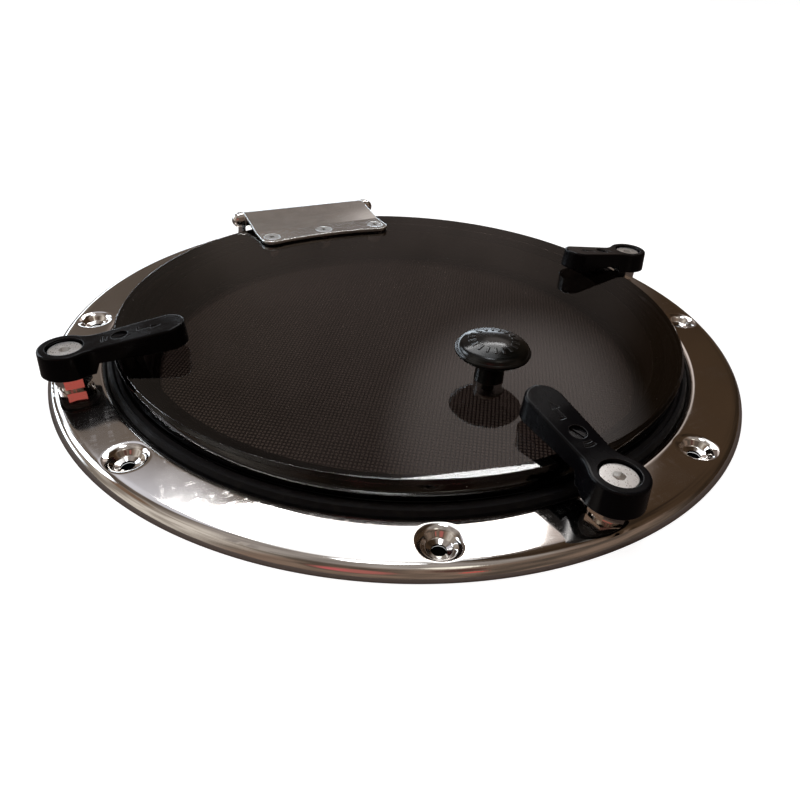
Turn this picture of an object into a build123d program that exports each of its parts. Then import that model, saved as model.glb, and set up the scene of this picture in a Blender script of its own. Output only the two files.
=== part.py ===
from build123d import *

import math
import os

# Round deck hatch, in millimetres. The origin is on the hatch's axis at deck level. +Z points up
# out of the deck, the hinge is towards +Y, the front lever towards -Y and the right lever towards +X.

# --- pressed flange and its neck ---
sheet = 2.0
flange_radius = 160.0
flange_height = 4.8
roll_start_radius = 154.4        # the flat top ends here and rolls down to the deck
neck_inner_radius = 136.6
neck_depth = 24.0
neck_bend = 3.5                  # outer radius of the bend between flat top and neck
neck_flare = 0.3                 # the pressing thickens towards the bend, outside only
neck_straight_top = -2.0         # below this height the neck's outside is a true cylinder
screw_circle_radius = 148.0
screw_count = 8
screw_hole_radius = 2.5
dimple_radius = 9.2              # soft outer lip of each pressed countersink
dimple_hollow_radius = 6.6       # hole in the deck gasket round the underside of a dimple
countersink_radius = 6.2

# --- seat, gaskets and insect screen ---
opening_radius = 121.0
seat_top = 2.0
screen_ledge_radius = 116.5
screen_ledge_z = -17.5
ledge_sheet = 1.5
screen_slack = 0.2               # gap around the push-in screen frame
screen_mesh_thickness = 0.3

# --- lid ---
lid_radius = 132.6
lid_bottom = 5.2
lid_thickness = 10.0
lid_top = lid_bottom + lid_thickness
lid_chamfer = 1.2

# --- hinge ---
pin_y = 138.0
pin_z = 17.5
pin_radius = 2.5
running_gap = 0.06               # radial play of everything that turns
leaf_sheet = 1.8
leaf_half_width = 40.2
leaf_corner_y = 92.0             # front edge of the leaf at its corners
leaf_middle_y = 96.6             # and at its middle, because the front edge is hollow
leaf_bend_y = 112.0
pad_thickness = 0.8
barrel_radius = 4.5
lug_sheet = 2.2
lug_gap = 0.7                    # room for a thrust washer beside the leaf
cap_nut_radius = 4.2
cap_nut_length = 4.6

# --- small fasteners ---
m5_radius = 2.45
m5_hole_radius = 2.7
m5_head_radius = 4.7
m5_socket_across_flats = 3.0
nut_across_flats = 8.0
nut_height = 4.0
washer_radius = 5.2
washer_thickness = 1.0
hinge_screw_places = [(-33.5, 101.8), (0.0, 103.8), (33.5, 101.8)]

# --- knob ---
knob_y = -77.0
knob_head_radius = 15.0
knob_head_half_height = 5.0
knob_head_z = lid_top + 13.4
knob_stem_radius = 5.8
knob_mark_count = 18
knob_mark_circle = 8.5
insert_radius = 3.6
insert_bore_radius = 2.1
insert_length = 9.0

# --- lever pivots ---
pivot_radius = 149.0
post_across_flats = 12.0
post_height = 6.8
post_foot_radius = 5.1
post_foot_height = 0.9
spigot_radius = 4.95
friction_washer_thickness = 0.4
friction_washer_radius = 8.0
hub_bottom = flange_height + post_height + friction_washer_thickness
hub_height = 10.0
hub_top = hub_bottom + hub_height
counterbore_radius = 7.0
counterbore_floor = hub_top - 2.4
m6_head_radius = 6.3
m6_head_rim = 0.4
m6_thread_radius = 2.5
m6_socket_across_flats = 4.0
m6_head_top = hub_top - 1.2
spigot_top = hub_top - 4.0

# --- lever, measured along the arm from the pivot; widths are those of its underside ---
hub_foot_radius = 10.7
arm_root_half_width = 6.8        # where the arm's straight sides would cross the pivot
arm_tip_x = 38.5
arm_tip_radius = 8.5
arm_neck_radius = 12.0           # hollow between hub and arm
arm_draft = 4.5                  # degrees that the sides lean in towards the top
arm_end_x = arm_tip_x + arm_tip_radius
arm_clear_x = 11.5               # from here on the arm's underside is above the lid
arm_underside = lid_top + 0.7
arm_end_underside = lid_top + 3.0
arm_end_top = hub_top + 5.8
arm_break_x = 8.0                # where the flat hub top turns into the rising arm
arm_break_radius = 60.0
arm_top_edge = 1.0               # rounding of the lever's upper edge
arm_low_edge = 0.5
pressure_screw_x = 20.5
pressure_screw_radius = 3.2
pressure_foot_radius = 4.2
pressure_foot_gap = 0.05
mark_depth = 0.35

# heading of each lever's arm from its pivot towards the lid, in degrees about +Z
levers = {"front": (-90.0, 90.0), "left": (180.0, -5.0), "right": (0.0, 180.0)}


def outline(start, *steps):
    """A closed flat outline. A step is the next corner, or (middle, end) for an arc."""
    spans = []
    here = start
    for step in steps + (start,):
        points = step if isinstance(step[0], tuple) else (step,)
        spans.append((here, *points))
        here = points[-1]
    chords = [chord for span in spans for chord in zip(span, span[1:])]
    turning = sum(x0 * y1 - x1 * y0 for (x0, y0), (x1, y1) in chords)
    if turning < 0:
        spans = [span[::-1] for span in reversed(spans)]
    return make_face([Line(*span) if len(span) == 2 else ThreePointArc(*span) for span in spans])


def lathe(start, *steps):
    """A ring or disc about Z from an outline of (radius, z) points."""
    return revolve(Plane.XZ * outline(start, *steps), Axis.Z)


def tube(inner, outer, low, high):
    """A plain ring between two radii and two heights."""
    return lathe((inner, low), (outer, low), (outer, high), (inner, high))


def rod(radius, low, high):
    """A plain cylinder on Z between two heights."""
    return Pos(0, 0, low) * extrude(Circle(radius), high - low)


def hex_prism(across_flats, low, high):
    """A hexagon on Z between two heights, with two of its corners on the X axis."""
    return Pos(0, 0, low) * extrude(RegularPolygon(across_flats / math.sqrt(3), 6), high - low)


def on_circle(shape, radius, angle):
    """Move a shape built on Z out to a pivot circle and turn it by the same angle."""
    return Rot(0, 0, angle) * Pos(radius, 0, 0) * shape


def screw_angles():
    """Angles of the deck screws round the flange, none of them on an axis."""
    return [360 / screw_count * (index + 0.5) for index in range(screw_count)]


def level_arc_middle(level, end):
    """The halfway point of an arc that leaves one point horizontally and stops at the other."""
    across = end[0] - level[0]
    drop = end[1] - level[1]
    radius = (across**2 + drop**2) / (2 * abs(drop))
    half_turn = math.atan2(abs(drop), abs(across))
    return (
        level[0] + math.copysign(radius * math.sin(half_turn), across),
        level[1] + math.copysign(radius * (1 - math.cos(half_turn)), drop),
    )


# ---------------------------------------------------------------- fixed ring parts

def make_flange_ring():
    """Pressed flange: rolled rim, flat top with countersunk dimples, and the neck below the deck."""
    neck_outer = neck_inner_radius + sheet
    underside = flange_height - sheet
    bend_x = neck_inner_radius + neck_bend
    bend_z = flange_height - neck_bend
    bend_top = (bend_x, flange_height)
    bend_under = (bend_x, underside)
    flare_radius = neck_outer + neck_flare
    bend_foot = (flare_radius, underside - (bend_x - flare_radius))
    roll_top = (roll_start_radius, flange_height)
    roll_under = (roll_start_radius, underside)
    rim_edge = (flange_radius, 0)
    rim_inner_edge = (flange_radius - sheet, 0)
    ring = lathe(
        (neck_inner_radius, -neck_depth),
        (neck_inner_radius, bend_z),
        (level_arc_middle(bend_top, (neck_inner_radius, bend_z)), bend_top),
        roll_top,
        (level_arc_middle(roll_top, rim_edge), rim_edge),
        rim_inner_edge,
        (level_arc_middle(roll_under, rim_inner_edge), roll_under),
        bend_under,
        (level_arc_middle(bend_under, bend_foot), bend_foot),
        (neck_outer, neck_straight_top),
        (neck_outer, -neck_depth),
    )
    boss_floor = 0.2
    boss_radius = 7.4
    into_sheet = 0.4
    boss = lathe(
        (0, boss_floor),
        (screw_hole_radius + sheet, boss_floor),
        (boss_radius, underside),
        (boss_radius, underside + into_sheet),
        (0, underside + into_sheet),
    )
    for angle in screw_angles():
        ring += on_circle(boss, screw_circle_radius, angle)
    cone_bottom = 1.0
    lip_z = flange_height - 1.25
    lip_middle = ((dimple_radius + countersink_radius) / 2 - 0.25, flange_height - 0.4)
    countersink = lathe(
        (0, -1),
        (screw_hole_radius, -1),
        (screw_hole_radius, cone_bottom),
        (countersink_radius, lip_z),
        (lip_middle, (dimple_radius, flange_height)),
        (dimple_radius, flange_height + 1),
        (0, flange_height + 1),
    )
    return ring - [on_circle(countersink, screw_circle_radius, angle) for angle in screw_angles()]


def make_seat_ring():
    """Inner ring welded in the neck: the gasket's seat, the coaming lip and the screen's ledge."""
    lip_outer = opening_radius + sheet
    ledge_bottom = screen_ledge_z - ledge_sheet
    return lathe(
        (opening_radius, seat_top),
        (neck_inner_radius, seat_top),
        (neck_inner_radius, seat_top - sheet),
        (lip_outer, seat_top - sheet),
        (lip_outer, ledge_bottom),
        (screen_ledge_radius, ledge_bottom),
        (screen_ledge_radius, screen_ledge_z),
        (opening_radius, screen_ledge_z),
    )


def make_lid_gasket():
    """Rubber ring on the seat: two ribs under the lid's edge and a bead that fills the gutter."""
    base_top = seat_top + 1.8
    inner = opening_radius + 0.4
    bead_inner = lid_radius + 0.9
    bead_outer = neck_inner_radius - 0.1
    bead_top = lid_bottom + 0.5
    bead_slope = 0.9
    rib_foot = 2.6
    rib_slope = 0.8
    points = [(inner, seat_top), (bead_outer, seat_top), (bead_outer, base_top)]
    points += [(bead_outer - bead_slope, bead_top), (bead_inner + bead_slope, bead_top)]
    points += [(bead_inner, base_top)]
    for start in (inner + 7.0, inner + 2.0):
        points += [(start + rib_foot, base_top), (start + rib_foot - rib_slope, lid_bottom)]
        points += [(start + rib_slope, lid_bottom), (start, base_top)]
    points += [(inner, base_top)]
    return lathe(*points)


def make_deck_gasket():
    """Flat rubber bed in the hollow under the flange, with a hole round each screw dimple."""
    inner = neck_inner_radius + sheet + 0.8
    outer = flange_radius - sheet - 1.2
    thickness = 1.6
    bed = tube(inner, outer, 0, thickness)
    hole = rod(dimple_hollow_radius, -1, thickness + 1)
    return bed - [on_circle(hole, screw_circle_radius, angle) for angle in screw_angles()]


def make_screen_frame():
    """Plastic ring that pushes into the coaming lip and carries the insect mesh."""
    outer = opening_radius - screen_slack
    wall = 1.4
    floor_top = screen_ledge_z + 1.2
    wall_top = screen_ledge_z + 4.0
    inner = screen_ledge_radius + 0.4
    return lathe(
        (inner, screen_ledge_z),
        (outer, screen_ledge_z),
        (outer, wall_top),
        (outer - wall, wall_top),
        (outer - wall, floor_top),
        (inner, floor_top),
    )


def make_screen_mesh():
    """Insect mesh, as a thin closed disc."""
    low = screen_ledge_z + 1.2
    return rod(opening_radius - screen_slack - 1.6, low, low + screen_mesh_thickness)


def make_screen_spline():
    """Rubber cord that holds the mesh down in its frame."""
    low = screen_ledge_z + 1.2 + screen_mesh_thickness
    outer = opening_radius - screen_slack - 1.6
    inner = outer - 2.2
    shoulder = low + 1.0
    top = low + 1.8
    slope = 0.6
    return lathe(
        (inner, low),
        (outer, low),
        (outer, shoulder),
        (outer - slope, top),
        (inner + slope, top),
        (inner, shoulder),
    )


# ---------------------------------------------------------------- lid parts

def make_lid_panel():
    """Smoked acrylic disc, bevelled round its edge and drilled for the hinge and the knob."""
    foot = 0.6
    panel = lathe(
        (0, lid_bottom),
        (lid_radius - foot, lid_bottom),
        (lid_radius, lid_bottom + foot),
        (lid_radius, lid_top - lid_chamfer),
        (lid_radius - lid_chamfer, lid_top),
        (0, lid_top),
    )
    hole = rod(m5_hole_radius, lid_bottom - 1, lid_top + 1)
    for x, y in hinge_screw_places + [(0, knob_y)]:
        panel -= Pos(x, y, 0) * hole
    return panel


def leaf_plan(inset, rear_y):
    """Plan of the leaf: square at the rear, rounded corners and a hollow front edge."""
    half = leaf_half_width - inset
    front = leaf_corner_y + inset
    middle = leaf_middle_y + inset
    face = outline((-half, front), ((0, middle), (half, front)), (half, rear_y), (-half, rear_y))
    corners = face.vertices().sort_by(Axis.Y)[:2]
    return fillet(corners, 6.0 - inset)


def make_hinge_leaf():
    """Lid half of the hinge: flat blade that sweeps up into a barrel round the pin."""
    flat_low = lid_top + pad_thickness
    flat_high = flat_low + leaf_sheet
    barrel_top = pin_z + barrel_radius
    rise = barrel_top - flat_high
    run = pin_y - leaf_bend_y
    knee = (leaf_bend_y + run * 0.42, flat_high + rise * 0.46)
    under_knee = (knee[0] + 0.35, knee[1] - leaf_sheet)
    blade = outline(
        (leaf_corner_y - 5, flat_low),
        (leaf_bend_y + 0.4, flat_low),
        (under_knee, (pin_y, barrel_top - leaf_sheet)),
        (pin_y, barrel_top),
        (knee, (leaf_bend_y, flat_high)),
        (leaf_corner_y - 5, flat_high),
    )
    leaf = extrude(Plane.YZ * blade, leaf_half_width, both=True)
    tall = 30.0
    leaf &= extrude(leaf_plan(0, pin_y + barrel_radius), tall)
    axis = Pos(0, pin_y, pin_z) * Rot(0, 90, 0)
    leaf += axis * Cylinder(barrel_radius, 2 * leaf_half_width)
    leaf -= axis * Cylinder(pin_radius + running_gap, 2 * leaf_half_width + 2)
    for x, y in hinge_screw_places:
        leaf -= Pos(x, y, 0) * countersunk_head(flat_high, m5_head_radius, m5_hole_radius, 3.0)
    return leaf


def make_hinge_pad():
    """Thin rubber pad between the leaf and the acrylic."""
    pad = Pos(0, 0, lid_top) * extrude(leaf_plan(0.8, leaf_bend_y), pad_thickness)
    for x, y in hinge_screw_places:
        pad -= Pos(x, y, 0) * rod(m5_hole_radius + 0.6, lid_top - 1, lid_top + 2)
    return pad


def countersunk_head(top, head_radius, shank_radius, above=0.0):
    """A 90 degree screw head under a flat top, carried on upwards when it is a cutting tool."""
    rim = 0.3
    depth = head_radius - shank_radius
    return lathe(
        (0, top - rim - depth),
        (shank_radius, top - rim - depth),
        (head_radius, top - rim),
        (head_radius, top + above),
        (0, top + above),
    )


def make_hinge_screws():
    """Three countersunk screws that clamp the leaf to the acrylic."""
    top = lid_top + pad_thickness + leaf_sheet - 0.05
    tip = lid_bottom - washer_thickness - nut_height + 0.6
    socket = hex_prism(m5_socket_across_flats, top - 1.6, top + 1)
    screw = countersunk_head(top, m5_head_radius - 0.1, m5_radius) + rod(m5_radius, tip, top - 2)
    screw -= socket
    return [Pos(x, y, 0) * screw for x, y in hinge_screw_places]


def make_hinge_screw_washers():
    """Washers under the nuts, on the inside of the lid."""
    low = lid_bottom - washer_thickness
    washer = tube(m5_hole_radius, washer_radius, low, lid_bottom)
    return [Pos(x, y, 0) * washer for x, y in hinge_screw_places]


def make_hinge_nuts():
    """Domed nuts on the inside of the lid."""
    high = lid_bottom - washer_thickness
    low = high - nut_height
    corner = nut_across_flats / math.sqrt(3)
    crown = (0, low - 1.6)
    rim = (nut_across_flats / 2 - 0.3, low + 0.6)
    dome = lathe(
        crown,
        (level_arc_middle(crown, rim), rim),
        (corner, low + 1.4),
        (corner, high),
        (0, high),
    )
    nut = hex_prism(nut_across_flats, low, high) & dome
    nut += dome & rod(nut_across_flats / 2 - 0.4, low - 2, high)
    nut -= rod(m5_radius, low + 0.4, high + 1)
    return [Pos(x, y, 0) * nut for x, y in hinge_screw_places]


def make_knob():
    """Moulded knob: lens-shaped head on a nearly straight stem, hollow for its threaded insert."""
    stem_foot = knob_stem_radius + 0.2
    under = knob_head_z - 1.2
    throat = knob_head_z - knob_head_half_height + 0.6
    top = (0, knob_head_z + knob_head_half_height)
    shoulder = (knob_head_radius * 0.78, knob_head_z + knob_head_half_height * 0.6)
    knob = lathe(
        (0, lid_top),
        (stem_foot, lid_top),
        ((knob_stem_radius, (lid_top + throat) / 2), (knob_stem_radius + 0.4, throat)),
        ((11.6, knob_head_z - 3.3), (knob_head_radius - 0.5, under)),
        ((knob_head_radius, knob_head_z - 0.4), (knob_head_radius - 0.6, knob_head_z + 0.7)),
        ((knob_head_radius - 1.45, knob_head_z + 1.95), shoulder),
        (level_arc_middle(top, shoulder), top),
    )
    for mark in make_knob_marks():
        knob += mark
    return Pos(0, knob_y, 0) * (knob - rod(insert_radius, lid_top - 1, lid_top + insert_length))


def make_knob_marks():
    """Ring of short raised ribs moulded on top of the knob's head, centred on the Z axis."""
    length, width, depth = 3.0, 0.9, 0.8
    rise = 0.25
    shoulder_radius = knob_head_radius * 0.78
    shoulder_drop = knob_head_half_height * 0.4
    drop = shoulder_drop * (knob_mark_circle / shoulder_radius) ** 2
    slope = math.degrees(math.atan(2 * drop / knob_mark_circle))
    level = knob_head_z + knob_head_half_height - drop + rise - depth / 2
    rib = Pos(knob_mark_circle, 0, level) * Rot(0, slope, 0) * Box(length, width, depth)
    return [Rot(0, 0, 360 * index / knob_mark_count) * rib for index in range(knob_mark_count)]


def make_knob_insert():
    """Brass threaded insert moulded into the knob's stem."""
    insert = rod(insert_radius, lid_top, lid_top + insert_length)
    return Pos(0, knob_y, 0) * (insert - rod(insert_bore_radius, lid_top - 1, lid_top + 8))


def make_knob_screw():
    """Pan-head screw up through the lid into the knob."""
    seat = lid_bottom - washer_thickness
    head_height = 3.0
    head = lathe(
        (0, seat - head_height),
        (m5_head_radius - 1.6, seat - head_height),
        ((m5_head_radius - 0.5, seat - head_height + 0.6), (m5_head_radius, seat - 1.4)),
        (m5_head_radius, seat),
        (0, seat),
    )
    screw = head + rod(m5_radius, seat - 1, lid_top) + rod(insert_bore_radius, lid_top - 1, lid_top + 7)
    screw -= hex_prism(m5_socket_across_flats, seat - head_height - 1, seat - 1)
    return Pos(0, knob_y, 0) * screw


def make_knob_washer():
    """Washer under the knob screw's head."""
    low = lid_bottom - washer_thickness
    return Pos(0, knob_y, 0) * tube(m5_hole_radius, washer_radius + 1.5, low, lid_bottom)


# ---------------------------------------------------------------- fixed hinge parts

def make_hinge_lug(side):
    """Upright lug welded on the flange at one end of the hinge, side is -1 or +1."""
    eye = barrel_radius + 0.3
    foot_front = pin_y - 4.6
    foot_rear = pin_y + 9.0
    plate = outline(
        (foot_front, flange_height),
        (pin_y - eye, pin_z),
        ((pin_y, pin_z + eye), (pin_y + eye, pin_z)),
        ((pin_y + eye + 0.9, flange_height + 5), (foot_rear, flange_height)),
    )
    inner_x = leaf_half_width + lug_gap
    lug = Pos(inner_x, 0, 0) * extrude(Plane.YZ * plate, lug_sheet)
    lug -= Pos(inner_x, pin_y, pin_z) * Rot(0, 90, 0) * Cylinder(pin_radius, 3 * lug_sheet)
    return lug if side > 0 else mirror(lug, Plane.YZ)


def make_hinge_pin():
    """Rod through both lugs and the leaf's barrel, threaded at its ends."""
    half = leaf_half_width + lug_gap + lug_sheet + 2.6
    return Pos(0, pin_y, pin_z) * Rot(0, 90, 0) * Cylinder(pin_radius, 2 * half)


def make_hinge_cap_nuts():
    """Domed nut on each end of the pin."""
    rim = (cap_nut_radius, cap_nut_length * 0.3)
    crown = (0, cap_nut_length)
    cap = lathe((0, 0), (cap_nut_radius, 0), rim, (level_arc_middle(crown, rim), crown))
    cap -= rod(pin_radius, -1, 2.8)
    start = leaf_half_width + lug_gap + lug_sheet
    right = Pos(start, pin_y, pin_z) * Rot(0, 90, 0) * cap
    return [mirror(right, Plane.YZ), right]


def make_hinge_thrust_washers():
    """Nylon washer between the leaf's barrel and each lug."""
    play = 0.05
    washer = tube(pin_radius + running_gap, barrel_radius - 0.2, 0, lug_gap - 2 * play)
    right = Pos(leaf_half_width + play, pin_y, pin_z) * Rot(0, 90, 0) * washer
    return [mirror(right, Plane.YZ), right]


# ---------------------------------------------------------------- levers and their pivots

def make_post():
    """Hexagonal post on a round foot welded to the flange, with the spigot that the lever turns on."""
    foot = flange_height
    top = flange_height + post_height
    post = hex_prism(post_across_flats, flange_height + post_foot_height, top)
    post += rod(post_foot_radius, foot, flange_height + post_foot_height + 1)
    post += rod(spigot_radius, top, spigot_top)
    post -= rod(m6_thread_radius, foot + 1.5, spigot_top + 1)
    post -= m6_head()
    return post


def m6_head():
    """The solid cone and rim of the countersunk pivot screw's head."""
    cone_top = m6_head_top - m6_head_rim
    return lathe(
        (0, cone_top - m6_head_radius + m6_thread_radius),
        (m6_thread_radius, cone_top - m6_head_radius + m6_thread_radius),
        (m6_head_radius, cone_top),
        (m6_head_radius, m6_head_top),
        (0, m6_head_top),
    )


def make_lever_screw():
    """Countersunk socket screw that keeps a lever on its post."""
    screw = m6_head() + rod(m6_thread_radius, flange_height + 3, m6_head_top - 3)
    rim_edge = screw.edges().filter_by(GeomType.CIRCLE).sort_by(Axis.Z)[-1]
    screw = chamfer(rim_edge, m6_head_rim * 0.6)
    return screw - hex_prism(m6_socket_across_flats, m6_head_top - 2.4, m6_head_top + 1)


def make_friction_washer():
    """Black nylon washer between a post and its lever."""
    low = flange_height + post_height
    return tube(spigot_radius + running_gap, friction_washer_radius, low, hub_bottom)


def lever_plan():
    """Plan of the lever at its underside: round hub, hollow neck, round tip."""
    root = arm_root_half_width
    lean = math.asin(arm_tip_radius / math.hypot(root, arm_tip_x)) - math.atan2(root, arm_tip_x)
    touch_x = arm_tip_x - arm_tip_radius * math.sin(lean)
    touch_y = arm_tip_radius * math.cos(lean)
    arm = outline((0, -root), (touch_x, -touch_y), ((arm_end_x, 0), (touch_x, touch_y)), (0, root))
    plan = arm + Circle(hub_foot_radius)
    necks = plan.vertices().filter_by_position(Axis.X, 1, arm_tip_x / 2)
    return fillet(necks, arm_neck_radius)


def arm_top_at(x):
    """Height of the rising arm's top face."""
    slope = (arm_end_top - hub_top) / (arm_end_x - arm_break_x)
    return hub_top + slope * (x - arm_break_x)


def lever_side():
    """Side view of the lever: flat over the hub, then rising clear of the lid."""
    behind = -2 * hub_foot_radius
    past_end = arm_end_x + 1
    side = outline(
        (behind, hub_bottom),
        (hub_foot_radius - 1, hub_bottom),
        (arm_clear_x, arm_underside),
        (past_end, arm_end_underside),
        (past_end, arm_top_at(past_end)),
        (arm_break_x, hub_top),
        (behind, hub_top),
    )
    brow = side.vertices().filter_by_position(Axis.X, arm_break_x - 0.1, arm_break_x + 0.1)
    return fillet(brow, arm_break_radius)


def lever_blank():
    """The drafted lever with its edges rounded, before its holes."""
    blank = Pos(0, 0, hub_bottom) * extrude(lever_plan(), 18, taper=arm_draft)
    blank &= extrude(Plane.XZ * lever_side(), 2 * hub_foot_radius, both=True)
    rim = [edge for edge in blank.edges() if lies_on_top(edge)]
    blank = fillet(rim, arm_top_edge)
    low = [edge for edge in blank.edges() if runs_under_arm(edge)]
    return fillet(low, arm_low_edge)


def lies_on_top(edge):
    """Whether an edge of the blank runs round its top face, and not across it."""
    across = edge.geom_type == GeomType.LINE and abs((edge @ 0).X - (edge @ 1).X) < 0.1
    return min((edge @ 0).Z, (edge @ 0.5).Z, (edge @ 1).Z) > hub_top - 0.01 and not across


def runs_under_arm(edge):
    """Whether an edge is one of the arm's long lower ones."""
    heights = [(edge @ 0).Z, (edge @ 0.5).Z, (edge @ 1).Z]
    return edge.length > 20 and min(heights) > arm_underside - 0.1 and max(heights) < hub_top - 3


def arm_marks():
    """Shallow generic marks in the arm's top: an arrow towards the tip and two short arcs."""
    shaft = Pos(30.2, 0, 0) * Rectangle(5.6, 0.9)
    head = outline((32.6, -1.7), (36.6, 0), (32.6, 1.7))
    tail = Pos(27.6, 0.9, 0) * Rectangle(0.9, 2.7)
    flat = shaft + head + tail
    for radius in (5.2, 6.8):
        band = Circle(radius + 0.35) - Circle(radius - 0.35)
        wedge = outline((0, 0), (-12, -4.2), (-12, 4.2))
        flat += Pos(pressure_screw_x, 0, 0) * (band & wedge)
    slope = math.degrees(math.atan2(arm_end_top - hub_top, arm_end_x - arm_break_x))
    floor = arm_top_at(pressure_screw_x) - mark_depth
    above = Pos(pressure_screw_x, 0, floor) * Rot(0, -slope, 0) * Pos(0, 0, 10) * Box(80, 30, 20)
    return extrude(flat, 40) & above


def make_lever_body():
    """Moulded lever on a pivot at the origin, its arm towards +X."""
    lever = lever_blank()
    seat_gap = 0.08
    cone_apex = m6_head_top - m6_head_rim - m6_head_radius
    bore = spigot_radius + running_gap
    seat_low = cone_apex + bore - seat_gap
    seat_high_radius = counterbore_floor - cone_apex + seat_gap
    lever -= lathe(
        (0, hub_bottom - 1),
        (bore, hub_bottom - 1),
        (bore, seat_low),
        (seat_high_radius, counterbore_floor),
        (counterbore_radius, counterbore_floor),
        (counterbore_radius, hub_top + 1),
        (0, hub_top + 1),
    )
    screw_hole = rod(pressure_screw_radius, hub_bottom, arm_end_top + 5)
    foot_room = rod(pressure_foot_radius + 0.2, hub_bottom, lid_top + 1.5)
    lever -= Pos(pressure_screw_x, 0, 0) * (screw_hole + foot_room)
    return lever - arm_marks()


def make_pressure_screw():
    """Slotted adjusting screw through the arm, with the foot that presses on the lid."""
    foot_bottom = lid_top + pressure_foot_gap
    top = arm_top_at(pressure_screw_x) - 0.75
    slot_heading = 12
    screw = rod(pressure_foot_radius, foot_bottom, lid_top + 1.2)
    screw += rod(pressure_screw_radius, lid_top + 1, top)
    rim = screw.edges().filter_by(GeomType.CIRCLE).sort_by(Axis.Z)[-1]
    screw = chamfer(rim, 0.3)
    screw -= Pos(0, 0, top) * Rot(0, 0, slot_heading) * Box(20, 1.1, 1.6)
    return Pos(pressure_screw_x, 0, 0) * screw


def at_pivot(shape, name):
    """Place a shape built at the origin on the named lever's pivot, its arm over the lid."""
    place, heading = levers[name]
    x = pivot_radius * math.cos(math.radians(place))
    y = pivot_radius * math.sin(math.radians(place))
    return Pos(x, y, 0) * Rot(0, 0, heading) * shape


def at_each_pivot(shape):
    """A copy of a fixed piece at every pivot, its corners along the hatch's radius."""
    return [on_circle(shape, pivot_radius, place) for place, heading in levers.values()]


def all_nodes():
    """Every separate piece of the hatch by its node's name."""
    nodes = {
        "flange_ring": make_flange_ring(),
        "seat_ring": make_seat_ring(),
        "lid_gasket": make_lid_gasket(),
        "deck_gasket": make_deck_gasket(),
        "screen_frame": make_screen_frame(),
        "screen_mesh": make_screen_mesh(),
        "screen_spline": make_screen_spline(),
        "lid_panel": make_lid_panel(),
        "hinge_leaf": make_hinge_leaf(),
        "hinge_pad": make_hinge_pad(),
        "hinge_screws": make_hinge_screws(),
        "hinge_screw_washers": make_hinge_screw_washers(),
        "hinge_nuts": make_hinge_nuts(),
        "knob": make_knob(),
        "knob_insert": make_knob_insert(),
        "knob_screw": make_knob_screw(),
        "knob_washer": make_knob_washer(),
        "hinge_lug_left": make_hinge_lug(-1),
        "hinge_lug_right": make_hinge_lug(1),
        "hinge_pin": make_hinge_pin(),
        "hinge_cap_nuts": make_hinge_cap_nuts(),
        "hinge_thrust_washers": make_hinge_thrust_washers(),
        "pivot_posts": at_each_pivot(make_post()),
        "friction_washers": at_each_pivot(make_friction_washer()),
        "lever_screws": at_each_pivot(make_lever_screw()),
    }
    for name in levers:
        nodes[f"lever_{name}"] = at_pivot(make_lever_body(), name)
        nodes[f"pressure_screw_{name}"] = at_pivot(make_pressure_screw(), name)
    return nodes


os.makedirs("parts", exist_ok=True)
for node, shape in all_nodes().items():
    if isinstance(shape, list):
        shape = Compound(children=shape)
    export_step(shape, f"parts/{node}.step")
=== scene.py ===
import math

import bmesh
import bpy
from mathutils import Matrix, Vector


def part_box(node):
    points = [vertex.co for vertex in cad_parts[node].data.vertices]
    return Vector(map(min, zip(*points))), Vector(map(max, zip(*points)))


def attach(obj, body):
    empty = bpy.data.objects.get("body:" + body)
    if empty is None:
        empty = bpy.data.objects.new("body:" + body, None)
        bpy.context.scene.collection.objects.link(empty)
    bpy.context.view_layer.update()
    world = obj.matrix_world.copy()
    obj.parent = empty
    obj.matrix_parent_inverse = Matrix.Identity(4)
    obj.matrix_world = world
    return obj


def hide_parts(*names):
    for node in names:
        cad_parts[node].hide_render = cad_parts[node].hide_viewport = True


# Looks, camera and light for a round deck hatch. Everything is in metres, in the CAD frame: the
# origin is on the hatch's axis at deck level, +Z points up and the hinge is towards +Y.

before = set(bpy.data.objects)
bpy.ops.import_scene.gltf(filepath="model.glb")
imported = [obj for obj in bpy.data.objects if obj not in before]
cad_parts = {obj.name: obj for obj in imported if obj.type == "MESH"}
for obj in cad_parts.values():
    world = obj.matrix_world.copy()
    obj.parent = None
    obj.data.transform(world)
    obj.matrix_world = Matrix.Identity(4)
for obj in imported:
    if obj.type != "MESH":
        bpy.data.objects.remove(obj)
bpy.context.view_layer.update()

MM = 0.001
MICRON = 0.001 * MM
UP = Vector((0.0, 0.0, 1.0))


# ---------------------------------------------------------------- node helpers

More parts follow.
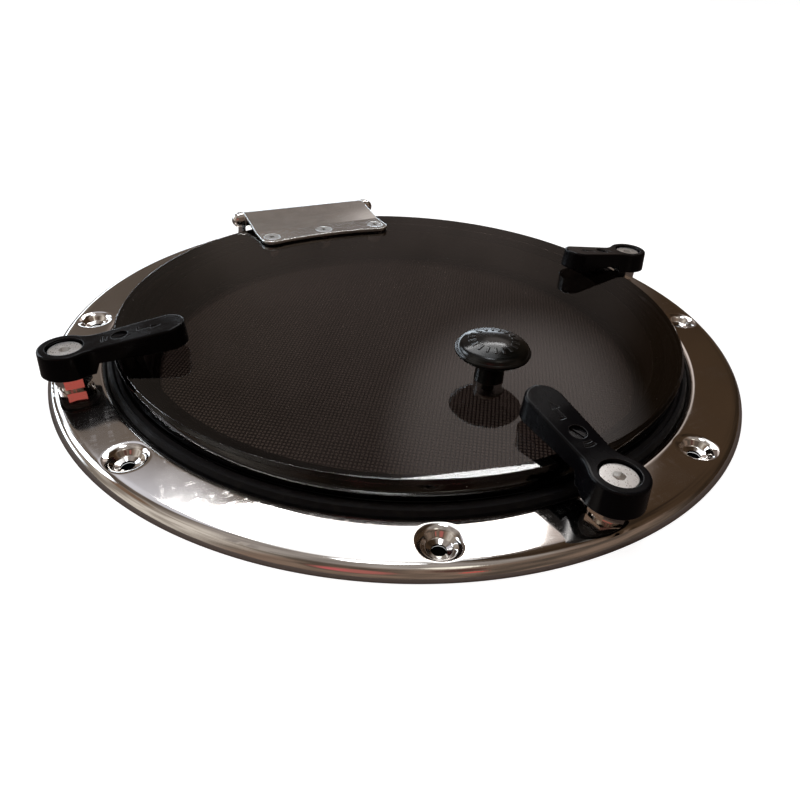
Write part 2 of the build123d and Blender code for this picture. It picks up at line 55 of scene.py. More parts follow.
class Tree:
    """A material's or world's node tree, with short calls to add nodes and join them."""

    def __init__(self, owner):
        owner.use_nodes = True
        self.tree = owner.node_tree
        self.tree.nodes.clear()

    def add(self, kind, **settings):
        """Add a node. A setting is one of its properties, or the value of an input socket."""
        node = self.tree.nodes.new(kind)
        for key, value in settings.items():
            if key.islower() and hasattr(node, key):
                setattr(node, key, value)
            else:
                self.put(node, key.replace("_", " "), value)
        return node

    def join(self, socket, value):
        """Give an input socket a value, or join another node's output to it."""
        if isinstance(value, bpy.types.NodeSocket):
            self.tree.links.new(value, socket)
        else:
            socket.default_value = value

    def put(self, node, name, value):
        """Fill the input socket that has this name."""
        self.join(node.inputs[name], value)

    def join_first(self, node, *values):
        """Fill a node's first input sockets in order."""
        for socket, value in zip(node.inputs, values):
            self.join(socket, value)

    def math(self, operation, first, second=0.0):
        """The result of one calculation on one or two numbers."""
        node = self.add("ShaderNodeMath", operation=operation)
        self.join_first(node, first, second)
        return node.outputs[0]

    def product(self, first, *others):
        """All the numbers multiplied together."""
        result = first
        for number in others:
            result = self.math("MULTIPLY", result, number)
        return result

    def dot(self, first, second):
        """The dot product of two vectors."""
        node = self.add("ShaderNodeVectorMath", operation="DOT_PRODUCT")
        self.join_first(node, first, second)
        return node.outputs["Value"]

    def ramp(self, value, low, high, to_low=0.0, to_high=1.0):
        """Map a value between two limits smoothly onto two others."""
        node = self.add("ShaderNodeMapRange", interpolation_type="SMOOTHSTEP")
        names = ("Value", "From Min", "From Max", "To Min", "To Max")
        for name, number in zip(names, (value, low, high, to_low, to_high)):
            self.put(node, name, number)
        return node.outputs["Result"]

    def mix_color(self, factor, first, second):
        """Blend from the first colour to the second as the factor goes from 0 to 1."""
        first_color, second_color, mixed_color = 6, 7, 2
        node = self.add("ShaderNodeMix", data_type="RGBA")
        self.join(node.inputs[0], factor)
        self.join(node.inputs[first_color], first)
        self.join(node.inputs[second_color], second)
        return node.outputs[mixed_color]

    def mix_shader(self, factor, first, second):
        """Blend from the first shader to the second as the factor goes from 0 to 1."""
        node = self.add("ShaderNodeMixShader")
        self.join_first(node, factor, first, second)
        return node.outputs[0]

    def point(self, stretch=(1.0, 1.0, 1.0), turn=(0.0, 0.0, 0.0)):
        """The place on the object in metres, stretched and turned before a texture reads it."""
        coordinates = self.add("ShaderNodeTexCoord")
        mapping = self.add("ShaderNodeMapping", Scale=stretch, Rotation=turn)
        self.put(mapping, "Vector", coordinates.outputs["Object"])
        return mapping.outputs["Vector"]

    def noise(self, size, detail=2.0, stretch=(1.0, 1.0, 1.0), turn=(0.0, 0.0, 0.0)):
        """Noise whose features are about size metres across."""
        node = self.add("ShaderNodeTexNoise", Scale=1 / size, Detail=detail)
        self.put(node, "Vector", self.point(stretch, turn))
        return node.outputs["Fac"]

    def bump(self, height, depth, normal=None):
        """A normal from a height that runs from 0 to 1 and stands for depth metres."""
        node = self.add("ShaderNodeBump", Strength=1.0, Distance=depth, Height=height)
        if normal is not None:
            self.put(node, "Normal", normal)
        return node.outputs["Normal"]

    def rounded(self, radius):
        """A normal that rounds the object's sharp edges off by a small radius."""
        return self.add("ShaderNodeBevel", samples=8, Radius=radius).outputs["Normal"]

    def edge_wear_and_sheen(self, radius):
        """1 at sharp outer and inner edges, 0 on flat faces."""
        flat, sharp = 0.99, 0.85
        bevel = self.add("ShaderNodeBevel", samples=4, Radius=radius)
        geometry = self.add("ShaderNodeNewGeometry")
        agreement = self.dot(bevel.outputs["Normal"], geometry.outputs["Normal"])
        return self.ramp(agreement, flat, sharp)

    def output(self, surface, volume=None):
        """End a material in its surface and, for see-through matter, its volume."""
        node = self.add("ShaderNodeOutputMaterial", Surface=surface)
        if volume is not None:
            self.put(node, "Volume", volume)


def principled(tree, **inputs):
    """A Principled BSDF; an input's name uses _ for a space."""
    return tree.add("ShaderNodeBsdfPrincipled", **inputs).outputs["BSDF"]


def new_material(name):
    """An empty material and its node tree."""
    material = bpy.data.materials.new(name)
    return material, Tree(material)


def darker(color, share):
    """A colour with each channel cut to a share of itself."""
    return [channel * share for channel in color[:3]] + [1.0]


# ---------------------------------------------------------------- materials

def polished_steel(name):
    """Mirror-polished stainless: slow polishing waves, hair scratches, scuffs and smudges."""
    color = (0.80, 0.77, 0.74, 1.0)
    clean, smeared = 0.035, 0.125
    wave_depth, swirl_share = 14 * MICRON, 0.12
    scratch_depth, scuff_depth = 1.2 * MICRON, 7 * MICRON
    hair_stretch = 0.06
    material, tree = new_material(name)
    waves = tree.noise(11 * MM, 1.0)
    swirl = tree.noise(3.5 * MM, 3.0)
    scratch_a = tree.noise(2 * MM, 2.0, (hair_stretch, 1.0, 1.0), (0.0, 0.0, 0.6))
    scratch_b = tree.noise(2 * MM, 2.0, (1.0, hair_stretch, 1.0), (0.0, 0.0, -0.4))
    scratches = tree.product(scratch_a, scratch_b)
    smudge = tree.noise(30 * MM, 4.0)
    scuffed_patches = tree.ramp(tree.noise(45 * MM, 1.0), 0.5, 0.62)
    scuffs = tree.product(tree.noise(0.7 * MM, 3.0), scuffed_patches)
    normal = tree.bump(waves, wave_depth)
    normal = tree.bump(swirl, wave_depth * swirl_share, normal)
    normal = tree.bump(scratches, scratch_depth, normal)
    normal = tree.bump(scuffs, scuff_depth, normal)
    roughness = tree.ramp(smudge, 0.35, 0.75, clean, smeared)
    roughness = tree.math("ADD", roughness, tree.ramp(scratches, 0.28, 0.42, 0.0, 0.06))
    tint = tree.mix_color(tree.ramp(smudge, 0.3, 0.8), color, darker(color, 0.9))
    tree.output(principled(tree, Base_Color=tint, Metallic=1.0, Roughness=roughness, Normal=normal))
    return material


def brushed_steel(name, rough, along, color=(0.66, 0.65, 0.63, 1.0), depth=4 * MICRON,
                  edge=0.4 * MM):
    """Satin stainless. Its grain is drawn out along the axis whose number in along is smallest."""
    material, tree = new_material(name)
    grain = tree.noise(0.6 * MM, 3.0, along)
    waves = tree.noise(9 * MM, 2.0)
    normal = tree.bump(waves, 2.5 * depth, tree.rounded(edge))
    normal = tree.bump(grain, depth, normal)
    roughness = tree.ramp(grain, 0.3, 0.7, rough - 0.03, rough + 0.04)
    tint = tree.mix_color(tree.ramp(waves, 0.3, 0.7), color, darker(color, 0.92))
    tree.output(principled(tree, Base_Color=tint, Metallic=1.0, Roughness=roughness, Normal=normal))
    return material


def moulded_plastic(name, color, rough, texture_depth, shine=0.5):
    """Moulded nylon: fine spark-eroded texture, handling gloss, and sharp edges painted lighter as
    a painted highlight and slight wear.
    """
    edge_radius = 0.4 * MM
    material, tree = new_material(name)
    texture = tree.noise(0.35 * MM, 2.0)
    handling = tree.noise(12 * MM, 3.0)
    normal = tree.bump(texture, texture_depth, tree.rounded(edge_radius))
    wear_and_sheen = tree.edge_wear_and_sheen(edge_radius)
    # Painted highlight and wear: sharp edges get a lighter colour and slightly lower roughness.
    worn_and_highlit = [min(1.0, channel * 2.2 + 0.12) for channel in color[:3]] + [1.0]
    tint = tree.mix_color(tree.product(wear_and_sheen, 0.6), color, worn_and_highlit)
    roughness = tree.ramp(handling, 0.35, 0.7, rough - 0.07, rough + 0.08)
    roughness = tree.math("SUBTRACT", roughness, tree.product(wear_and_sheen, 0.1))
    tree.output(principled(tree, Base_Color=tint, Roughness=roughness, Normal=normal,
                           Specular_IOR_Level=shine))
    return material


def rubber(name):
    """Dull black rubber with a dusty bloom."""
    clean, dusty = (0.005, 0.005, 0.006, 1.0), (0.014, 0.013, 0.012, 1.0)
    material, tree = new_material(name)
    bloom = tree.noise(4 * MM, 5.0)
    skin = tree.noise(0.5 * MM, 2.0)
    tint = tree.mix_color(tree.ramp(bloom, 0.45, 0.8), clean, dusty)
    roughness = tree.ramp(bloom, 0.3, 0.7, 0.42, 0.66)
    normal = tree.bump(skin, 8 * MICRON)
    tree.output(principled(tree, Base_Color=tint, Roughness=roughness, Normal=normal,
                           Specular_IOR_Level=0.12))
    return material


def smoked_acrylic(name):
    """Thick see-through acrylic that darkens with depth, with hair scratches and dust specks."""
    smoke_color, smoke_density = (0.33, 0.27, 0.25, 1.0), 185.0
    clear_color = (0.95, 0.95, 0.95, 1.0)
    acrylic_ior = 1.49
    dust_spacing = 6 * MM
    speck_edge, speck_core = 0.035, 0.02
    material, tree = new_material(name)
    scratch = tree.noise(1.6 * MM, 2.0, (0.05, 1.0, 1.0), (0.0, 0.0, 0.9))
    waves = tree.noise(30 * MM, 1.0)
    normal = tree.bump(waves, 12 * MICRON, tree.rounded(0.6 * MM))
    dust = tree.add("ShaderNodeTexVoronoi", Scale=1 / dust_spacing, Vector=tree.point())
    speck = tree.ramp(dust.outputs["Distance"], speck_edge, speck_core)
    scratched = tree.ramp(scratch, 0.55, 0.8, 0.015, 0.06)
    roughness = tree.math("ADD", scratched, tree.product(speck, 0.3))
    glass = principled(tree, Base_Color=(1.0, 1.0, 1.0, 1.0), Transmission_Weight=1.0,
                       IOR=acrylic_ior, Roughness=roughness, Normal=normal)
    path = tree.add("ShaderNodeLightPath")
    passing = tree.math("MAXIMUM", path.outputs["Is Shadow Ray"], path.outputs["Is Diffuse Ray"])
    clear = tree.add("ShaderNodeBsdfTransparent", Color=clear_color)
    smoke = tree.add("ShaderNodeVolumeAbsorption", Color=smoke_color, Density=smoke_density)
    tree.output(tree.mix_shader(passing, glass, clear.outputs[0]), smoke.outputs[0])
    return material


def mesh_thread(name):
    """Coated yarn of the insect mesh."""
    dark, light = (0.20, 0.165, 0.15, 1.0), (0.30, 0.255, 0.235, 1.0)
    dirt_color = (0.12, 0.10, 0.085, 1.0)
    material, tree = new_material(name)
    fibres = tree.noise(1.1 * MM, 3.0)
    dirt = tree.noise(20 * MM, 3.0)
    tint = tree.mix_color(tree.ramp(fibres, 0.3, 0.7), dark, light)
    tint = tree.mix_color(tree.ramp(dirt, 0.5, 0.85, 0.0, 0.35), tint, dirt_color)
    normal = tree.bump(fibres, 15 * MICRON)
    tree.output(principled(tree, Base_Color=tint, Roughness=0.55, Normal=normal))
    return material


def turned_brass(name):
    """Turned brass of a small hidden fitting."""
    color = (0.80, 0.58, 0.27, 1.0)
    smooth, coarse = 0.25, 0.4
    material, tree = new_material(name)
    turning = tree.noise(0.8 * MM, 3.0, (1.0, 1.0, 0.08))
    roughness = tree.ramp(turning, 0.3, 0.7, smooth, coarse)
    tint = tree.mix_color(turning, color, darker(color, 0.8))
    normal = tree.bump(turning, 3 * MICRON)
    tree.output(principled(tree, Base_Color=tint, Metallic=1.0, Roughness=roughness, Normal=normal))
    return material


mirror = polished_steel("mirror_steel")
leaf_steel = brushed_steel("leaf_steel", rough=0.14, along=(0.08, 1.0, 1.0),
                           color=(0.93, 0.96, 0.95, 1.0), depth=0.3 * MICRON, edge=1.0 * MM)
satin = brushed_steel("satin_steel", rough=0.3, along=(1.0, 1.0, 0.1))
# Painted shade: the seat ring's steel gets a near-black colour that stands for the shaded, dark
# inside of the neck it reflects.
seat_steel_painted_shade = brushed_steel("seat_steel_painted_shade", rough=0.35, along=(1.0, 1.0, 0.1),
                           color=(0.16, 0.15, 0.145, 1.0), depth=1 * MICRON)
screw_steel = brushed_steel("screw_steel", rough=0.30, along=(1.0, 1.0, 1.0),
                            color=(0.90, 0.89, 0.87, 1.0), depth=0.05 * MICRON, edge=0.1 * MM)
lever_nylon = moulded_plastic("lever_nylon", (0.003, 0.003, 0.004, 1.0), rough=0.22,
                              texture_depth=5 * MICRON, shine=0.13)
knob_nylon = moulded_plastic("knob_nylon", (0.002, 0.003, 0.003, 1.0), rough=0.16,
                             texture_depth=14 * MICRON, shine=0.4)
frame_plastic = moulded_plastic("frame_plastic", (0.018, 0.018, 0.019, 1.0), rough=0.5,
                                texture_depth=12 * MICRON)
white_nylon = moulded_plastic("white_nylon", (0.72, 0.70, 0.64, 1.0), rough=0.45,
                              texture_depth=5 * MICRON)
black_rubber = rubber("black_rubber_skin")
acrylic = smoked_acrylic("smoked_acrylic_sheet")
yarn = mesh_thread("mesh_yarn")
brass = turned_brass("insert_brass")

looks = {
    "flange_ring": mirror,
    "seat_ring": seat_steel_painted_shade,
    "lid_gasket": black_rubber,
    "deck_gasket": black_rubber,
    "screen_frame": frame_plastic,
    "screen_mesh": yarn,
    "screen_spline": black_rubber,
    "lid_panel": acrylic,
    "hinge_leaf": leaf_steel,
    "hinge_pad": black_rubber,
    "hinge_screws": satin,
    "hinge_screw_washers": satin,
    "hinge_nuts": mirror,
    "knob": knob_nylon,
    "knob_insert": brass,
    "knob_screw": screw_steel,
    "knob_washer": satin,
    "hinge_lug_left": mirror,
    "hinge_lug_right": mirror,
    "hinge_pin": satin,
    "hinge_cap_nuts": mirror,
    "hinge_thrust_washers": white_nylon,
    "pivot_posts": mirror,
    "friction_washers": frame_plastic,
    "lever_screws": screw_steel,
}
for side in ("front", "left", "right"):
    looks[f"lever_{side}"] = lever_nylon
    looks[f"pressure_screw_{side}"] = lever_nylon

for node, material in looks.items():
    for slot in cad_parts[node].material_slots:
        slot.material = material


# ---------------------------------------------------------------- mesh helpers

def polar(radius, angle, height):
    """A point at a radius and an angle from the hatch's axis, and at a height."""
    return Vector((radius * math.cos(angle), radius * math.sin(angle), height))


def add_ring_faces(data, rings):
    """Four-sided faces between each closed ring of vertices and the next."""
    for first, second in zip(rings, rings[1:]):
        for k in range(len(first)):
            nxt = (k + 1) % len(first)
            data.faces.new((first[k], first[nxt], second[nxt], second[k]))


def add_band(data, profile, steps):
    """Faces of a surface of revolution through a profile of (radius, height) points."""
    angles = [2 * math.pi * k / steps for k in range(steps)]
    rings = [
        [data.verts.new(polar(radius, angle, height)) for angle in angles]
        for radius, height in profile
    ]
    add_ring_faces(data, rings)


def finished_mesh(name, data):
    """Turn a bmesh into a mesh and free it."""
    mesh = bpy.data.meshes.new(name)
    data.to_mesh(mesh)
    data.free()
    return mesh


def link_object(name, data):
    """Put a mesh, a light or a camera into the scene as an object."""
    thing = bpy.data.objects.new(name, data)
    bpy.context.scene.collection.objects.link(thing)
    return thing


def replace_node(node, mesh, material):
    """Show a mesh in place of a CAD node of the hatch's fixed frame."""
    piece = link_object(mesh.name, mesh)
    mesh.materials.append(material)
    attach(piece, "frame")
    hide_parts(node)


def add_stage_mesh(name, data, material):
    """Add a mesh to the stage, which is not part of the object."""
    thing = link_object(name, finished_mesh(name, data))
    thing.data.materials.append(material)


# ---------------------------------------------------------------- woven insect mesh

def flat_spokes(across, thread_radius):
    """From a thread's centre to its skin, for a thread that is wider across than it is high."""
    sides = 5
    flatness = 0.35
    turns = [2 * math.pi * side / sides for side in range(sides)]
    return [
        (across * math.cos(turn) + UP * (math.sin(turn) * flatness)) * thread_radius
        for turn in turns
    ]


def add_thread(data, centres, spokes):
    """A closed tube along a row of centres."""
    rings = [[data.verts.new(centre + spoke) for spoke in spokes] for centre in centres]
    add_ring_faces(data, rings)
    data.faces.new(rings[0])
    data.faces.new(rings[-1][::-1])


def woven_mesh():
    """Plain weave: two families of flattened threads that pass over and under each other."""
    low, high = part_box("screen_mesh")
    edge_gap = 0.1 * MM
    radius = (high.x - low.x) / 2 - edge_gap
    middle = (low.z + high.z) / 2
    lift = 0.07 * MM
    heights = (middle - lift, middle + lift)
    thread_radius = 0.42 * MM
    pitches = (1.7 * MM, 2.0 * MM)
    heading = math.radians(54.0)
    directions = (polar(1.0, heading, 0.0), polar(1.0, heading + math.pi / 2, 0.0))
    data = bmesh.new()
    for family, (pitch, crossing) in enumerate((pitches, pitches[::-1])):
        along, across = directions[family], directions[1 - family]
        spokes = flat_spokes(across, thread_radius)
        half_count = int((radius - thread_radius) / pitch)
        for index in range(-half_count, half_count + 1):
            offset = index * pitch
            reach = math.sqrt(radius**2 - offset**2) - thread_radius
            knots = int(reach / crossing)
            centres = []
            for knot in range(-knots, knots + 1):
                height = heights[(knot + index + family) % 2]
                centres.append(along * (knot * crossing) + across * offset + UP * height)
            add_thread(data, centres, spokes)
    bmesh.ops.recalc_face_normals(data, faces=data.faces)
    mesh = finished_mesh("insect_mesh_weave", data)
    mesh.shade_smooth()
    replace_node("screen_mesh", mesh, yarn)


# ---------------------------------------------------------------- pressed flange

def smooth_min(first, second, reach):
    """The lower of two heights, rounded off where they come within reach of each other."""
    overlap = max(0.0, reach - abs(first - second)) / reach
    return min(first, second) - overlap * overlap * reach / 4


def arc_drop(radius, across):
    """How far a circle has dropped below its top at a distance across from it."""
    return radius - math.sqrt(radius**2 - across**2)


def arc_points(start, end, level_first, steps):
    """Points of (radius, height) on an arc that is level at one end, without its two ends."""
    level, steep = (start, end) if level_first else (end, start)
    across = steep[0] - level[0]
    drop = level[1] - steep[1]
    radius = (across**2 + drop**2) / (2 * drop)
    turn = math.asin(min(1.0, abs(across) / radius))
    points = []
    for step in range(1, steps):
        part = turn * step / steps
        points.append((level[0] + math.copysign(radius * math.sin(part), across),
                       level[1] - radius * (1 - math.cos(part))))
    return points if level_first else points[::-1]


class Flange:
    """Sizes of the pressed flange, and the height of its two faces at any place."""

    low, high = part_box("flange_ring")
    rim = high.x
    top = high.z
    neck_foot = low.z
    sheet = 2.0 * MM
    under_top = top - sheet
    neck = 136.6 * MM
    neck_outside = neck + sheet
    under_bend = neck_outside + 0.3 * MM
    neck_top = -2.0 * MM
    bend = 3.5 * MM
    bend_start = neck + bend
    roll_start = 154.4 * MM
    roll = ((rim - roll_start) ** 2 + top**2) / (2 * top)
    under_rim = rim - sheet
    under_roll = ((under_rim - roll_start) ** 2 + under_top**2) / (2 * under_top)
    screw_circle = 148.0 * MM
    screws = 8
    hole = 2.5 * MM
    bowl = 4.4 * MM
    bowl_floor = 1.0 * MM
    bowl_top = bowl_floor + 0.75 * MM
    bowl_shoulder = 6.0 * MM
    shoulder_top = top - 1.15 * MM
    dimple = 9.1 * MM
    dimple_blend = 0.25 * MM
    boss_floor = 0.2 * MM
    boss_foot = hole + sheet
    boss = 7.4 * MM

    def top_height(self, radius, from_screw):
        """Height of the top face at a radius and at a distance from the nearest screw."""
        height = self.top
        if radius > self.roll_start:
            height -= arc_drop(self.roll, radius - self.roll_start)
        elif radius < self.bend_start:
            height -= arc_drop(self.bend, self.bend_start - radius)
        return smooth_min(height, self.dimple_height(from_screw), self.dimple_blend)

    def dimple_height(self, from_screw):
        """A bowl round the screw hole, a steep shoulder and a soft lip up to the flat."""
        if from_screw < self.bowl:
            part = (from_screw - self.hole) / (self.bowl - self.hole)
            return self.bowl_floor + (self.bowl_top - self.bowl_floor) * part
        if from_screw < self.bowl_shoulder:
            part = (from_screw - self.bowl) / (self.bowl_shoulder - self.bowl)
            return self.bowl_top + (self.shoulder_top - self.bowl_top) * part
        part = min(1.0, (from_screw - self.bowl_shoulder) / (self.dimple - self.bowl_shoulder))
        return self.top - (self.top - self.shoulder_top) * (1 - part) ** 2

    def under_height(self, radius, from_screw):
        """Height of the under face at a radius and at a distance from the nearest screw."""
        height = self.under_top
        if radius > self.roll_start:
            height -= arc_drop(self.under_roll, radius - self.roll_start)
        slope = (self.under_top - self.boss_floor) / (self.boss - self.boss_foot)
        boss = self.boss_floor + max(0.0, from_screw - self.boss_foot) * slope
        return min(height, boss)


def rim_profile(flange, top_edge, under_edge):
    """From the edge of the top face over the rolled rim and back to the edge of the under face."""
    roll_foot = (flange.rim, 0.0)
    under_foot = (flange.under_rim, 0.0)
    roll = arc_points((flange.roll_start, flange.top), roll_foot, level_first=True, steps=20)
    under_roll_top = (flange.roll_start, flange.under_top)
    under_roll = arc_points(under_roll_top, under_foot, level_first=True, steps=12)
    roll = [point for point in roll if point[0] > top_edge[0]]
    under_roll = [point for point in under_roll if point[0] > under_edge[0]]
    return [top_edge, *roll, roll_foot, under_foot, *under_roll[::-1], under_edge]


def neck_profile(flange, top_edge, under_edge):
    """From the edge of the under face down the neck and back up to the edge of the top face."""
    bend_foot = (flange.neck, flange.top - flange.bend)
    bend_top = (flange.bend_start, flange.top)
    bend = arc_points(bend_foot, bend_top, level_first=False, steps=14)
    bend = [point for point in bend if point[0] < top_edge[0]]
    under_bend_top = (flange.bend_start, flange.under_top)
    under_bend_drop = flange.bend_start - flange.under_bend
    under_bend_foot = (flange.under_bend, flange.under_top - under_bend_drop)
    under_bend = arc_points(under_bend_top, under_bend_foot, level_first=True, steps=5)
    neck = [
        (flange.neck_outside, flange.neck_top),
        (flange.neck_outside, flange.neck_foot),
        (flange.neck, flange.neck_foot),
    ]
    under = [under_edge, under_bend_top, *under_bend, under_bend_foot]
    return [*under, *neck, bend_foot, *bend, top_edge]


def sector_edge(flange, span, steps):
    """Points of (radius, angle from the sector's middle) round the edge of one eighth of a ring."""
    inner, outer = span
    half = math.pi / flange.screws
    fewest_pieces = 4
    arc = [2 * half * k / steps - half for k in range(steps)]
    crossings = [flange.bend_start, flange.roll_start]
    stops = [inner] + [radius for radius in crossings if inner < radius < outer] + [outer]
    side = []
    for first, second in zip(stops, stops[1:]):
        pieces = max(fewest_pieces, round((second - first) / MM))
        side += [first + (second - first) * k / pieces for k in range(pieces)]
    points = [(inner, angle) for angle in arc]
    points += [(radius, half) for radius in side]
    points += [(outer, -angle) for angle in arc]
    points += [(radius, -half) for radius in [outer] + side[:0:-1]]
    return points


def sector_loops(flange, span, steps):
    """Level loops of points, from the edge of a sector in to the edge of its screw hole."""
    centre = Vector((flange.screw_circle, 0.0, 0.0))
    edge = sector_edge(flange, span, steps)
    count = len(edge)
    start_turn = math.pi + math.pi * steps / count
    spokes = [polar(1.0, start_turn - 2 * math.pi * k / count, 0.0) for k in range(count)]
    outermost = flange.dimple + 0.3 * MM
    spread_steps = 16
    bowl_steps = 26
    loops = []
    for step in range(spread_steps):
        part = step / spread_steps
        loop = []
        for (radius, angle), spoke in zip(edge, spokes):
            goal = centre + spoke * outermost
            goal_angle = math.atan2(goal.y, goal.x)
            loop.append(polar(radius + (goal.length - radius) * part**4,
                              angle + (goal_angle - angle) * part, 0.0))
        loops.append(loop)
    for step in range(bowl_steps + 1):
        radius = outermost + (flange.hole - outermost) * step / bowl_steps
        loops.append([centre + spoke * radius for spoke in spokes])
    return loops


def add_screw_sector(data, flange, middle, loops, height):
    """One eighth of a face of the flange. Gives the edges round its screw hole."""
    centre = Vector((flange.screw_circle, 0.0, 0.0))
    turn = Matrix.Rotation(middle, 3, "Z")
    rings = []
    for loop in loops:
        ring = []
        for point in loop:
            place = turn @ point
            place.z = height(point.length, (point - centre).length)
            ring.append(data.verts.new(place))
        rings.append(ring)
    add_ring_faces(data, rings)
    hole = rings[-1]
    return [data.edges.get((hole[k - 1], hole[k])) for k in range(len(hole))]


def screw_angles():
    """Angles of the flange's screw holes: evenly spaced, the first half a step round from +X."""
    return [2 * math.pi * (index + 0.5) / Flange.screws for index in range(Flange.screws)]


def pressed_flange():
    """The flange as one fine closed mesh, so that its mirror finish shows no facets."""
    flange = Flange()
    sector_steps = 48
    around = sector_steps * flange.screws
    top_span = (138.4 * MM, 157.6 * MM)
    under_span = (140.2 * MM, 157.0 * MM)
    clear_of_screws = 2 * flange.dimple
    same_place = 0.1 * MICRON
    sharp_edge = math.radians(38.0)
    top_edges = [(radius, flange.top_height(radius, clear_of_screws)) for radius in top_span]
    under_edges = [(radius, flange.under_height(radius, clear_of_screws)) for radius in under_span]
    data = bmesh.new()
    add_band(data, rim_profile(flange, top_edges[1], under_edges[1]), around)
    add_band(data, neck_profile(flange, top_edges[0], under_edges[0]), around)
    top_loops = sector_loops(flange, top_span, sector_steps)
    under_loops = sector_loops(flange, under_span, sector_steps)
    for middle in screw_angles():
        hole_edges = add_screw_sector(data, flange, middle, top_loops, flange.top_height)
        hole_edges += add_screw_sector(data, flange, middle, under_loops, flange.under_height)
        bmesh.ops.bridge_loops(data, edges=hole_edges)
    bmesh.ops.remove_doubles(data, verts=data.verts, dist=same_place)
    bmesh.ops.recalc_face_normals(data, faces=data.faces)
    mesh = finished_mesh("pressed_flange", data)
    mesh.shade_smooth()
    mesh.set_sharp_from_angle(angle=sharp_edge)
    replace_node("flange_ring", mesh, mirror)


# ---------------------------------------------------------------- deck

def pale_deck(name):
    """Grey that glows to near white for the camera, dim brown where steel and acrylic mirror it."""
    grey, dim_brown = (0.45, 0.45, 0.45, 1.0), (0.10, 0.075, 0.065, 1.0)
    material, tree = new_material(name)
    seen = principled(tree, Base_Color=grey, Roughness=0.8, Specular_IOR_Level=0.0)
    glow = tree.add("ShaderNodeEmission", Color=(1.0, 1.0, 1.0, 1.0), Strength=0.86)
    bright = tree.add("ShaderNodeAddShader")
    tree.join_first(bright, seen, glow.outputs[0])
    mirrored = principled(tree, Base_Color=dim_brown, Roughness=0.9)
    path = tree.add("ShaderNodeLightPath")
    to_camera = path.outputs["Is Camera Ray"]
    tree.output(tree.mix_shader(to_camera, mirrored, bright.outputs[0]))
    return material


def painted_hole_shade(name):
    """Painted shade: a near-black matte colour that stands for the unlit inside of a drilled hole.
    """
    material, tree = new_material(name)
    tree.output(principled(tree, Base_Color=(0.002, 0.002, 0.002, 1.0), Roughness=0.9,
                           Specular_IOR_Level=0.0))
    return material


def add_deck():
    """Plain pale deck with a round cut-out for the hatch's neck."""
    cutout = 139.2 * MM
    reach = 30.0
    level = -0.1 * MM
    steps = 256
    data = bmesh.new()
    add_band(data, [(reach, level), (cutout, level)], steps)
    add_stage_mesh("deck_floor", data, pale_deck("pale_deck"))


def add_pilot_hole_shade():
    """Discs of painted shade on the deck where its screws would go, seen down the flange's holes;
    they stand for dark pilot holes.
    """
    hole_radius = 2.6 * MM
    level = -0.05 * MM
    data = bmesh.new()
    for angle in screw_angles():
        place = Matrix.Translation(polar(Flange.screw_circle, angle, level))
        bmesh.ops.create_circle(data, cap_ends=True, segments=32, radius=hole_radius, matrix=place)
    add_stage_mesh("deck_pilot_hole_shade", data, painted_hole_shade("pilot_hole_painted_shade"))


# ---------------------------------------------------------------- room

# The two colours that each side of the room is patched with.
room_sides = {
    "middle": ((0.20, 0.162, 0.145, 1.0), (0.115, 0.094, 0.082, 1.0)),
    "right": ((0.062, 0.038, 0.022, 1.0), (0.028, 0.018, 0.011, 1.0)),
    "left": ((0.22, 0.18, 0.15, 1.0), (0.10, 0.080, 0.066, 1.0)),
    "far_left": ((0.75, 0.69, 0.62, 1.0), (0.30, 0.26, 0.22, 1.0)),
    "back": ((0.24, 0.17, 0.13, 1.0), (0.09, 0.07, 0.055, 1.0)),
    "ceiling": ((0.42, 0.38, 0.35, 1.0), (0.26, 0.23, 0.21, 1.0)),
}

# Soft glows in the room: (azimuth, elevation), the angle from there to the glow's edge, colour.
# A glow is full out to half of that angle. Angles are in degrees.
room_glows = [
    ((-141.0, 31.0), 13.0, (0.42, 0.14, 0.12)),
    ((-136.0, 29.0), 5.0, (0.62, 0.13, 0.14)),
    ((-176.0, 29.0), 4.5, (0.60, 0.12, 0.10)),
    ((-175.0, 43.0), 9.0, (0.10, 0.05, 0.04)),
    ((-57.0, 37.0), 10.0, (0.20, 0.13, 0.09)),
    ((-42.0, 30.0), 11.0, (6.0, 6.6, 7.2)),
    ((-24.0, 24.0), 9.0, (2.0, 2.2, 2.4)),
    ((180.0, 61.0), 8.0, (1.3, 1.25, 1.1)),
    ((42.0, 37.0), 13.0, (0.75, 0.66, 0.62)),
    ((-6.0, 48.0), 13.0, (0.72, 0.72, 0.78)),
    ((22.0, 64.0), 16.0, (1.35, 1.37, 1.40)),
    ((0.0, 86.0), 8.0, (6.5, 6.8, 7.2)),
]


def toward(azimuth, elevation):
    """Unit vector to a place in the room; azimuth is from +Y towards +X, both in degrees."""
    azimuth, elevation = math.radians(azimuth), math.radians(elevation)
    level = math.cos(elevation)
    return Vector((math.sin(azimuth) * level, math.cos(azimuth) * level, math.sin(elevation)))


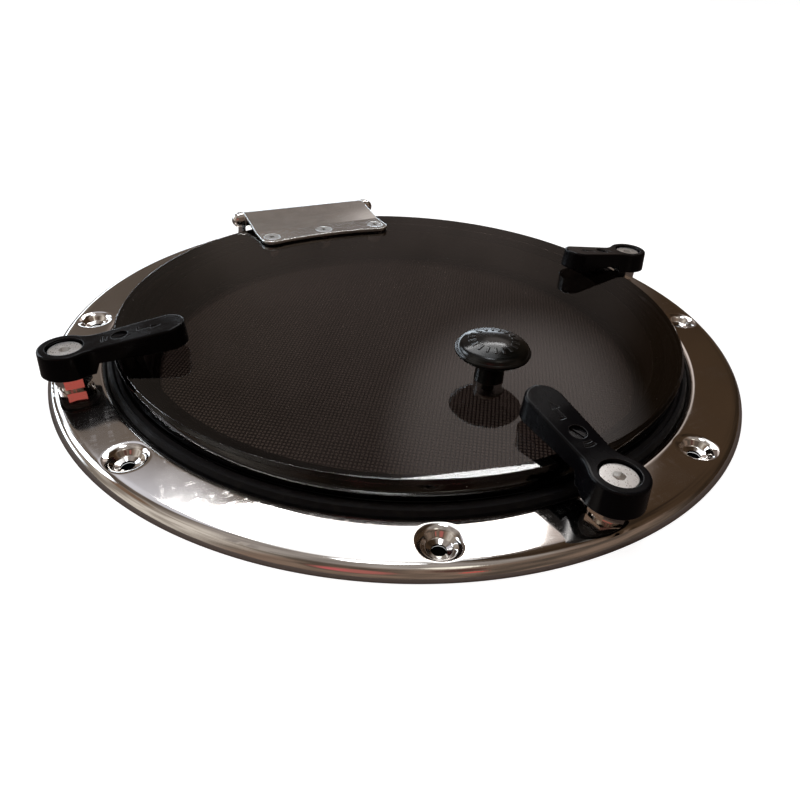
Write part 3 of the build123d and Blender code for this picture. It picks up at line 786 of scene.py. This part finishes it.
def room_color(tree, direction):
    """Colour of the patched walls and ceiling, with a bright band low on the far side."""
    bright_band = (3.4, 3.8, 4.2, 1.0)
    axes = tree.add("ShaderNodeSeparateXYZ", Vector=direction)
    x, y, z = (axes.outputs[name] for name in "XYZ")
    azimuth = tree.product(tree.math("ARCTAN2", x, y), math.degrees(1.0))
    elevation = tree.product(tree.math("ARCSINE", z), math.degrees(1.0))
    patches = tree.add("ShaderNodeTexNoise", Scale=3.2, Detail=3.0, Vector=direction)
    patch = tree.ramp(patches.outputs["Fac"], 0.36, 0.66)
    sides = {name: tree.mix_color(patch, *colors) for name, colors in room_sides.items()}
    color = sides["middle"]
    for name, place, begins, full in (
        ("right", azimuth, 47.0, 54.0),
        ("left", azimuth, 24.0, 2.0),
        ("far_left", azimuth, -40.0, -75.0),
        ("back", y, 0.0, -0.4),
        ("ceiling", elevation, 50.0, 66.0),
    ):
        color = tree.mix_color(tree.ramp(place, begins, full), color, sides[name])
    tall_right = tree.product(
        tree.ramp(azimuth, 50.0, 58.0),
        tree.ramp(azimuth, 130.0, 110.0),
        tree.ramp(elevation, 84.0, 70.0),
    )
    color = tree.mix_color(tall_right, color, sides["right"])
    low_band = tree.product(
        tree.ramp(elevation, 1.0, 4.0),
        tree.ramp(elevation, 12.0, 9.0),
        tree.ramp(azimuth, -60.0, -50.0),
        tree.ramp(azimuth, 45.0, 35.0),
    )
    return tree.mix_color(low_band, color, bright_band)


def add_world():
    """Dim brown room with soft glows, as steel and acrylic mirror it. The camera sees white."""
    world = bpy.data.worlds.new("room")
    bpy.context.scene.world = world
    tree = Tree(world)
    direction = tree.add("ShaderNodeTexCoord").outputs["Generated"]
    color = room_color(tree, direction)
    for place, reach, glow in room_glows:
        core, edge = math.cos(math.radians(reach / 2)), math.cos(math.radians(reach))
        nearness = tree.dot(direction, toward(*place))
        color = tree.mix_color(tree.ramp(nearness, edge, core), color, (*glow, 1.0))
    path = tree.add("ShaderNodeLightPath")
    color = tree.mix_color(path.outputs["Is Camera Ray"], color, (1.0, 1.0, 1.0, 1.0))
    background = tree.add("ShaderNodeBackground", Color=color, Strength=1.0)
    tree.add("ShaderNodeOutputWorld", Surface=background.outputs[0])


# ---------------------------------------------------------------- window and camera

def add_panel(name, heading, span, heights, brightness):
    """An upright glowing panel that faces the hatch; span is its reach to the left and right."""
    near_lid_edge = Vector((-62.7 * MM, -115.5 * MM, 0.0))
    distance = 0.6
    away = toward(heading, 0.0)
    right = toward(heading + 90.0, 0.0)
    width, height = span[1] - span[0], heights[1] - heights[0]
    data = bpy.data.lights.new(name, "AREA")
    data.shape = "RECTANGLE"
    data.size, data.size_y = width, height
    data.energy = brightness * math.pi * width * height
    light = link_object(name, data)
    foot = near_lid_edge + away * distance + right * (sum(span) / 2)
    axes = Matrix((-right, UP, away)).transposed()
    light.matrix_world = Matrix.Translation(foot + UP * (sum(heights) / 2)) @ axes.to_4x4()
    light.visible_camera = False


def add_window():
    """A large soft panel that the near flange mirrors as plain white, with a brighter sill."""
    heading = 15.0
    span = (-0.24, 0.45)
    sill, head = 0.567, 1.05
    sill_height = 0.035
    sill_top = sill + sill_height
    add_panel("window_light", heading, span, (sill_top, head), brightness=2.6)
    add_panel("window_sill_light", heading, span, (sill, sill_top), brightness=15.0)


def add_camera():
    """Camera close above the near left of the hatch, wide-angled and slightly rolled."""
    azimuth, elevation = math.radians(-28.5), math.radians(27.70)
    distance = 0.3139
    turns = (("X", -6.66), ("Y", -0.35), ("Z", 2.83))
    data = bpy.data.cameras.new("camera")
    data.lens = 27.59
    data.sensor_width = 36.0
    data.clip_start = 0.01
    data.clip_end = 100.0
    camera = link_object("camera", data)
    level = math.cos(elevation)
    away = Vector((math.sin(azimuth) * level, -math.cos(azimuth) * level, math.sin(elevation)))
    right = UP.cross(away).normalized()
    axes = Matrix((right, away.cross(right), away)).transposed()
    for axis, degrees in turns:
        axes = axes @ Matrix.Rotation(math.radians(degrees), 3, axis)
    camera.matrix_world = Matrix.Translation(away * distance) @ axes.to_4x4()
    bpy.context.scene.camera = camera


woven_mesh()
pressed_flange()
add_deck()
add_pilot_hole_shade()
add_world()
add_window()
add_camera()
bpy.context.scene.view_settings.view_transform = "Standard"
